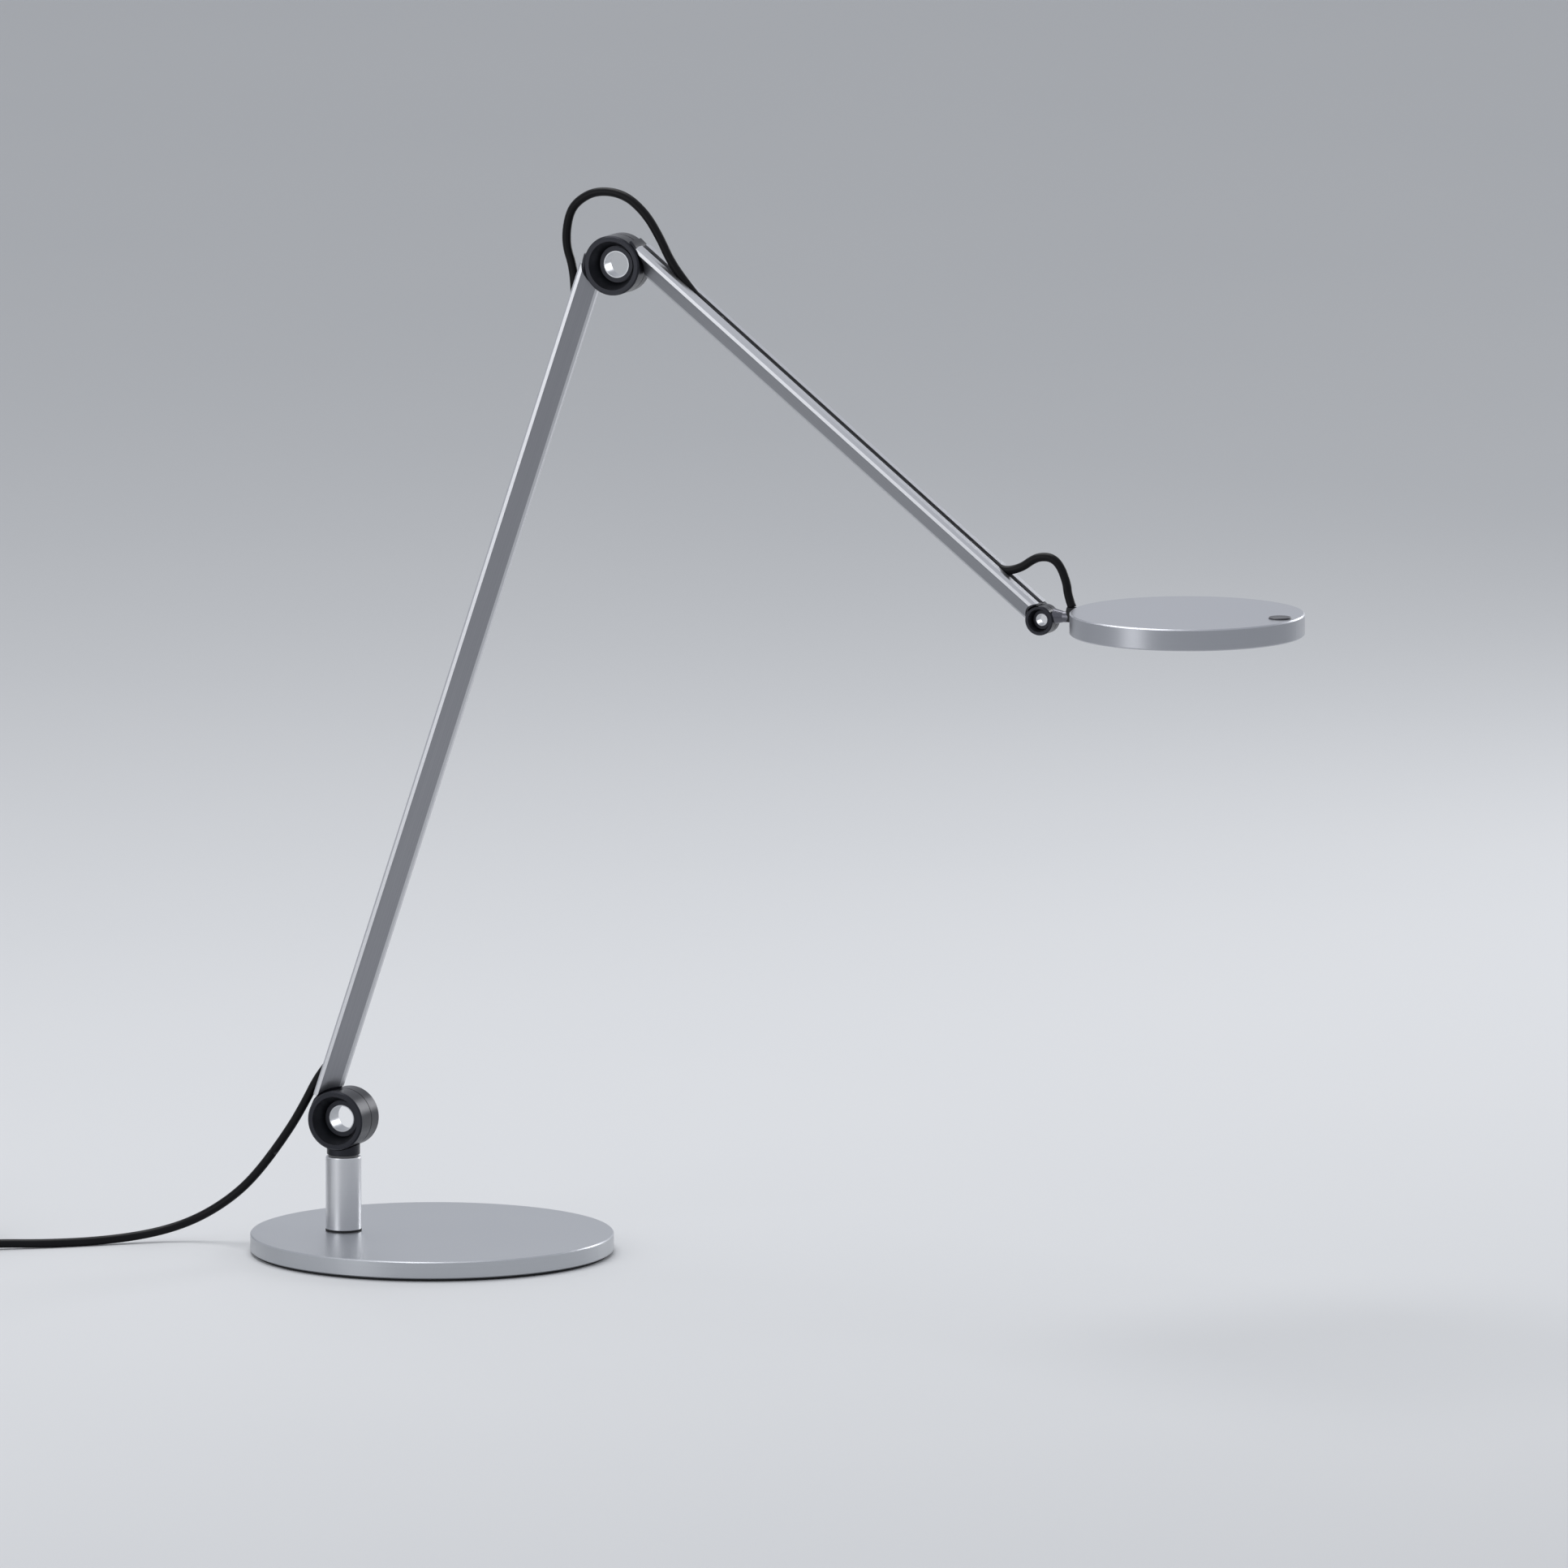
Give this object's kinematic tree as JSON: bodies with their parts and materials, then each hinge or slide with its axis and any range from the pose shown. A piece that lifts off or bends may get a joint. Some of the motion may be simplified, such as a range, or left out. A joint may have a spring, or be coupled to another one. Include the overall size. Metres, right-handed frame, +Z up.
{
  "type": "desk lamp",
  "caption": "Desk lamp with a flat round base, a swivelling neck, slim arms on hollow ring joints and a thin disc head with a light panel below.",
  "frame": {"origin": "point of the table directly under the axis of the swivel neck", "axes": "+X from the neck towards the head, arm plane is XZ, +Z up; the front of the ring joints faces -Y"},
  "size_m": [0.8874, 0.2209, 0.5974],
  "materials": {
    "brushed_silver": "fine satin, bead-blasted and clear anodised look",
    "anodised_silver": "satin anodised",
    "graphite_black": "fine satin black coating",
    "black_rubber": "matt",
    "cable_black": "smooth satin sheath",
    "polished_steel": "polished",
    "plain_steel": "bright zinc",
    "bearing_plastic": "natural acetal",
    "opal_plastic": "opal, light-diffusing",
    "board_white": "white solder mask",
    "led_phosphor": "yellow phosphor",
    "black_plastic": "fine-grained moulding",
    "button_black": "smooth satin"
  },
  "bodies": {
    "root": {"base_pad": "black_rubber", "base_disc": "brushed_silver", "base_screw": "plain_steel", "column_gasket": "black_rubber", "column_tube": "anodised_silver", "swivel_bush": "bearing_plastic", "lead": "cable_black", "lead_coil": "cable_black", "lead_tie": "black_rubber", "lead_tail": "cable_black", "strain_relief": "black_rubber", "power_supply": "black_plastic", "plug_pins": "polished_steel"},
    "neck": {"swivel_neck": "graphite_black", "swivel_washer": "plain_steel", "swivel_screw": "plain_steel", "lead_riser": "cable_black"},
    "lower_arm": {"lower_arm_foot": "graphite_black", "lower_arm": "anodised_silver", "lower_arm_screws": "plain_steel", "lower_arm_top": "graphite_black", "lower_arm_cable": "cable_black", "shoulder_axle": "graphite_black", "shoulder_liner": "polished_steel", "shoulder_friction_washer": "bearing_plastic", "shoulder_wave_spring": "plain_steel", "shoulder_ring_nut": "graphite_black", "elbow_axle": "graphite_black", "elbow_liner": "polished_steel", "elbow_friction_washer": "bearing_plastic", "elbow_wave_spring": "plain_steel", "elbow_ring_nut": "graphite_black"},
    "upper_arm": {"upper_arm_foot": "graphite_black", "upper_arm": "anodised_silver", "upper_arm_screws": "plain_steel", "upper_arm_tip": "graphite_black", "upper_arm_cable": "cable_black", "elbow_loop": "cable_black", "head_arch": "cable_black"},
    "head": {"head_shell": "anodised_silver", "diffuser": "opal_plastic", "led_board": "board_white", "leds": "led_phosphor", "head_joint_ring": "graphite_black", "neck_bar": "polished_steel", "neck_anchor": "plain_steel", "cable_entry": "black_rubber", "switch_bracket": "plain_steel", "button_switch": "black_plastic", "tilt_axle": "graphite_black", "tilt_liner": "polished_steel", "tilt_friction_washer": "bearing_plastic", "tilt_wave_spring": "plain_steel", "tilt_ring_nut": "graphite_black"},
    "button": {"button": "button_black"}
  },
  "joints": [
    {"name": "neck_swivel", "type": "hinge", "parent": "root", "child": "neck", "pos_m": [0, 0, 0.0529], "axis": [0, 0, 1], "range_deg": [-90, 90], "deforming": ["lead"]},
    {"name": "shoulder_tilt", "type": "hinge", "parent": "neck", "child": "lower_arm", "pos_m": [0, 0, 0.0735], "axis": [0, -1, 0], "range_deg": [-45, 40], "deforming": ["lead_riser"]},
    {"name": "elbow_tilt", "type": "hinge", "parent": "lower_arm", "child": "upper_arm", "pos_m": [0.16524, 0, 0.55557], "axis": [0, -1, 0], "range_deg": [-55, 100], "deforming": ["elbow_loop"]},
    {"name": "head_tilt", "type": "hinge", "parent": "upper_arm", "child": "head", "pos_m": [0.41699, 0, 0.37447], "axis": [0, -1, 0], "range_deg": [-80, 45], "deforming": ["head_arch"]},
    {"name": "button_press", "type": "slide", "parent": "head", "child": "button", "axis": [0, 0, -1], "range_m": [0, 0.0008], "stiffness_N_per_m": 400, "springref_m": -0.0005}
  ]
}
